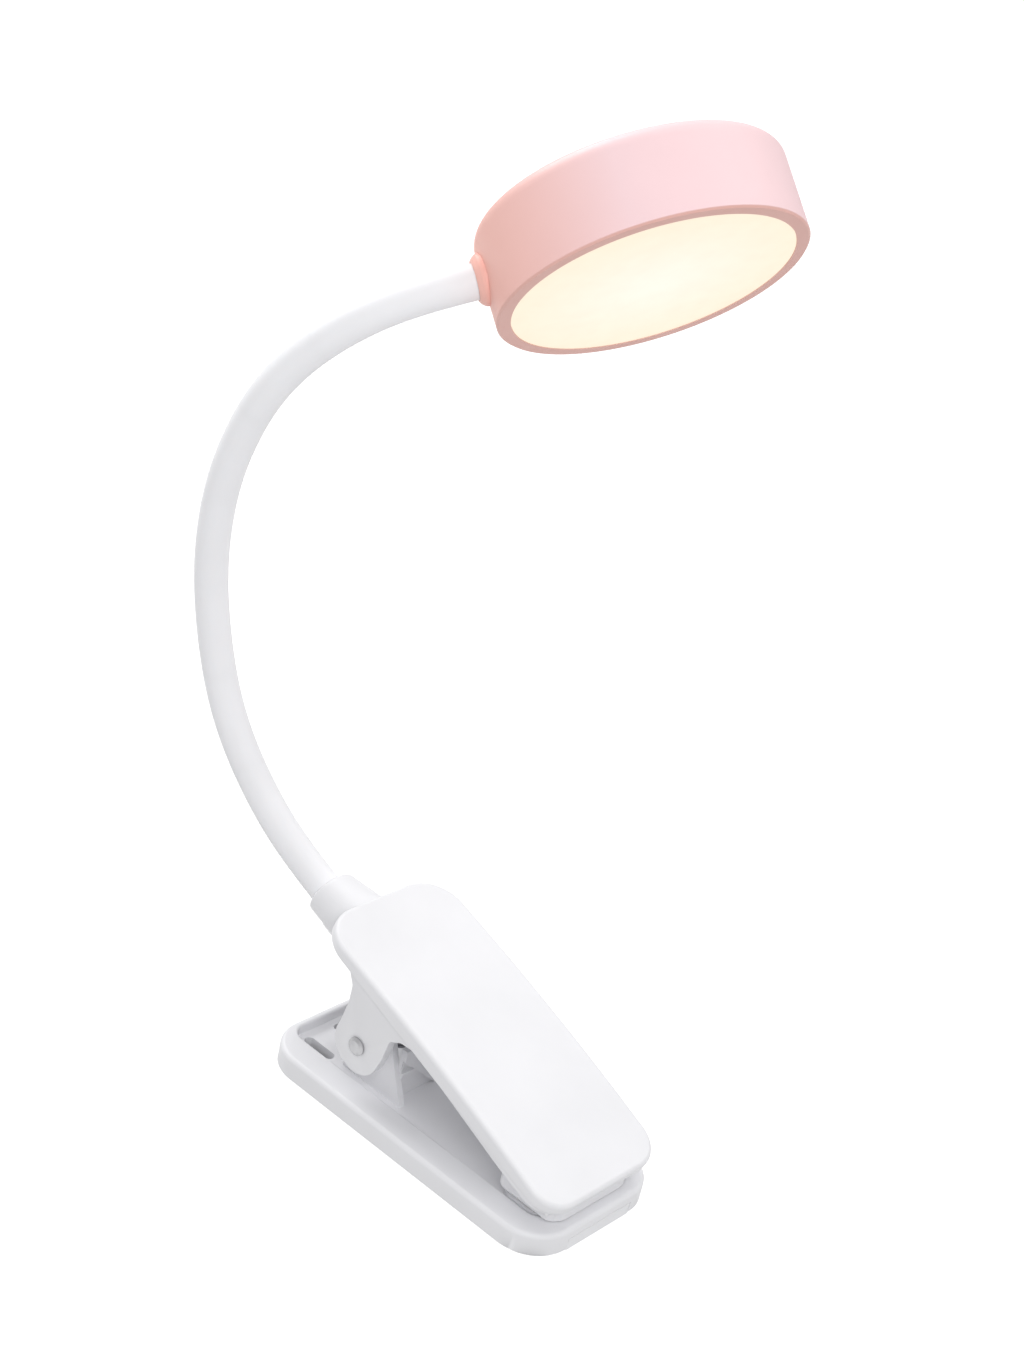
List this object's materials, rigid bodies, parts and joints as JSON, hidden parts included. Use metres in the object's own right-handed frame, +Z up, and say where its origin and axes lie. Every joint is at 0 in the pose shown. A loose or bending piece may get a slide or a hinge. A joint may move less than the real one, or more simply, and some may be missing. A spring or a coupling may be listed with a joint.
{
  "type": "clip on reading lamp",
  "caption": "Battery reading lamp: a sprung two-jaw clip, a bendable gooseneck in a soft sleeve and a round drum head with an opal diffuser.",
  "frame": {"origin": "centre of the clip's underside, on the surface it stands on", "axes": "+X to the mouth of the jaws, +Z up; the neck rises at -X and leans to +Y"},
  "size_m": [0.1828, 0.1244, 0.2861],
  "materials": {
    "white_plastic": "satin moulded ABS",
    "soft_pad": "matt silicone rubber",
    "pin_steel": "bright zinc plate",
    "spring_steel": "oiled spring wire",
    "neck_steel": "wound steel",
    "neck_silicone": "satin silicone",
    "pink_plastic": "satin moulded ABS",
    "pink_rim": "satin moulded ABS, a shade deeper",
    "diffuser": "opal acrylic, lit warm white",
    "inner_plastic": "matt",
    "led_aluminium": "white solder mask on aluminium",
    "led_phosphor": "phosphor",
    "battery_foil": "foil pouch",
    "foam": "closed foam",
    "board_green": "solder mask",
    "connector_steel": "nickel plate",
    "switch_black": "matt",
    "button_white": "satin"
  },
  "bodies": {
    "clip_base": {"lower_jaw": "white_plastic", "lower_jaw_pad": "soft_pad", "sole_pad": "soft_pad", "hinge_pin": "pin_steel", "pin_washer": "pin_steel", "torsion_spring": "spring_steel"},
    "lever": {"lever_frame": "white_plastic", "lever_cover": "white_plastic", "upper_jaw_pad": "soft_pad", "neck_socket": "white_plastic", "socket_screws": "pin_steel", "neck_ferrule": "pin_steel", "neck_core_0": "neck_steel", "neck_sleeve_0": "neck_silicone"},
    "neck_1": {"neck_core_1": "neck_steel", "neck_sleeve_1": "neck_silicone"},
    "neck_2": {"neck_core_2": "neck_steel", "neck_sleeve_2": "neck_silicone"},
    "neck_3": {"neck_core_3": "neck_steel", "neck_sleeve_3": "neck_silicone"},
    "neck_4": {"neck_core_4": "neck_steel", "neck_sleeve_4": "neck_silicone"},
    "neck_5": {"neck_core_5": "neck_steel", "neck_sleeve_5": "neck_silicone"},
    "neck_6": {"neck_core_6": "neck_steel", "neck_sleeve_6": "neck_silicone"},
    "head": {"neck_core_7": "neck_steel", "neck_sleeve_7": "neck_silicone", "neck_boss": "pink_plastic", "boss_nut": "pin_steel", "head_shell": "pink_plastic", "bezel_ring": "pink_rim", "diffuser": "diffuser", "reflector_ring": "inner_plastic", "led_board": "led_aluminium", "led_chips": "led_phosphor", "chassis": "inner_plastic", "chassis_screws": "pin_steel", "battery_pad": "foam", "battery_cell": "battery_foil", "control_board": "board_green", "usb_socket": "connector_steel", "tact_switch": "switch_black"},
    "button": {"power_button": "button_white"}
  },
  "joints": [
    {"name": "jaw_open", "type": "hinge", "parent": "clip_base", "child": "lever", "pos_m": [-0.0225, 0, 0.0235], "axis": [0, -1, 0], "range_deg": [0, 28], "stiffness_Nm_per_rad": 0.54, "springref_deg": -68.75, "deforming": ["torsion_spring"]},
    {"name": "neck_bend_1", "type": "hinge", "parent": "lever", "child": "neck_1", "pos_m": [-0.0901, -0.0015, 0.05703], "axis": [-0.0891, 0.9949, 0.047], "range_deg": [-22, 22]},
    {"name": "neck_side_2", "type": "hinge", "parent": "neck_1", "child": "neck_2", "pos_m": [-0.10973, -0.00429, 0.07896], "axis": [-0.8697, -0.0547, -0.4905], "range_deg": [-22, 22]},
    {"name": "neck_bend_3", "type": "hinge", "parent": "neck_2", "child": "neck_3", "pos_m": [-0.1202, -0.00729, 0.10658], "axis": [-0.1069, 0.9898, 0.0939], "range_deg": [-22, 22]},
    {"name": "neck_side_4", "type": "hinge", "parent": "neck_3", "child": "neck_4", "pos_m": [-0.12267, -0.01053, 0.13602], "axis": [-0.9931, -0.1122, 0.035], "range_deg": [-22, 22]},
    {"name": "neck_bend_5", "type": "hinge", "parent": "neck_4", "child": "neck_5", "pos_m": [-0.11759, -0.01232, 0.16524], "axis": [-0.1168, 0.9916, 0.0547], "range_deg": [-22, 22]},
    {"name": "neck_side_6", "type": "hinge", "parent": "neck_5", "child": "neck_6", "pos_m": [-0.10586, -0.01036, 0.19246], "axis": [-0.8548, -0.1119, 0.5067], "range_deg": [-22, 22]},
    {"name": "neck_bend_7", "type": "hinge", "parent": "neck_6", "child": "head", "pos_m": [-0.0884, -0.00127, 0.21452], "axis": [-0.3446, 0.8924, -0.2912], "range_deg": [-22, 22]},
    {"name": "button_press", "type": "slide", "parent": "head", "child": "button", "axis": [-0.7264, 0.1889, 0.6608], "range_m": [-0.0006, 0], "stiffness_N_per_m": 600}
  ]
}
